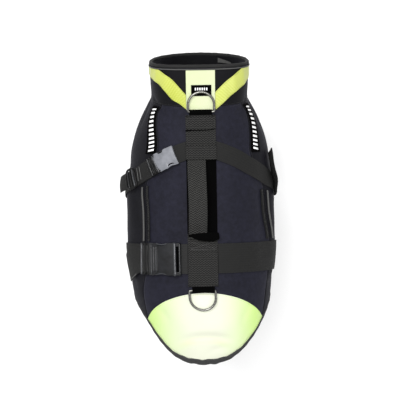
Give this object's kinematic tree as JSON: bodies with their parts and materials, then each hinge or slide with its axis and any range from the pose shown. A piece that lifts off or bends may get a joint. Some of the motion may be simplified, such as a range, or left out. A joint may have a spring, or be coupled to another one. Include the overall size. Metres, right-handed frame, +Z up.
{
  "type": "dog life jacket",
  "caption": "Neoprene dog life jacket with a neck tube, foam flanks, neon nape and tail panels, lifting handle, leash rings and buckled girth straps, filled out with no wearer.",
  "frame": {"origin": "inner face of the back panel on the spine at the withers, where the wearer's back carries it", "axes": "+Y towards the head along the spine, +Z up out of the back, +X to the wearer's right"},
  "size_m": [0.2779, 0.5437, 0.3223],
  "materials": {
    "neoprene": "black neoprene with a smooth knit face, dull",
    "neon_cloth": "neon yellow-green reflective cloth, softly shiny",
    "label_cloth": "black close-woven label cloth",
    "binding": "black folded edge binding",
    "piping": "grey reflective piping",
    "zip_tape": "black coil zip on its tape",
    "webbing": "coarse woven dark grey-black webbing",
    "strap": "close-woven dark strap webbing",
    "buckle_plastic": "dark moulded plastic, fine grain",
    "buckle_light": "dark grey moulded plastic with a bright sheen",
    "ring_steel": "polished steel wire"
  },
  "bodies": {
    "root": {"collar": "neoprene", "back_panel": "neoprene", "flank_left": "neoprene", "flank_right": "neoprene", "chest_panel": "neoprene", "tail_panel": "neon_cloth", "nape_patch": "neon_cloth", "v_band_left": "neon_cloth", "v_band_right": "neon_cloth", "nape_label": "label_cloth", "side_strip_left": "label_cloth", "side_strip_right": "label_cloth", "handle_backing": "label_cloth", "neck_binding": "binding", "hem_binding": "binding", "armhole_binding_left": "binding", "armhole_binding_right": "binding", "neck_piping": "piping", "collar_tab": "piping", "pocket_piping_left": "piping", "pocket_piping_right": "piping", "pocket_zip_left": "zip_tape", "pocket_zip_right": "zip_tape", "spine_webbing_front": "webbing", "spine_webbing_rear": "webbing", "handle_band": "webbing", "handle": "webbing", "ring_keeper_front": "webbing", "ring_keeper_rear": "webbing", "upper_strap_right": "strap", "upper_strap_under": "strap", "upper_stub_left": "strap", "belly_strap": "strap", "belly_stub_left": "strap", "upper_free_end": "strap", "belly_free_end": "strap", "strap_join_right": "strap", "belly_buckle_socket": "buckle_plastic", "belly_buckle_plug": "buckle_plastic", "upper_slider": "buckle_plastic", "upper_buckle_socket": "buckle_light", "upper_buckle_plug": "buckle_light"},
    "front_leash_ring": {"ring_front": "ring_steel"},
    "rear_leash_ring": {"ring_rear": "ring_steel"}
  },
  "joints": [
    {"name": "front_ring_turn", "type": "hinge", "parent": "root", "child": "front_leash_ring", "pos_m": [0, 0.0627, 0.01344], "axis": [1, 0, 0], "range_deg": [0, 160]},
    {"name": "rear_ring_turn", "type": "hinge", "parent": "root", "child": "rear_leash_ring", "pos_m": [0, -0.23438, 0.00496], "axis": [-1, 0, 0], "range_deg": [0, 160]}
  ]
}
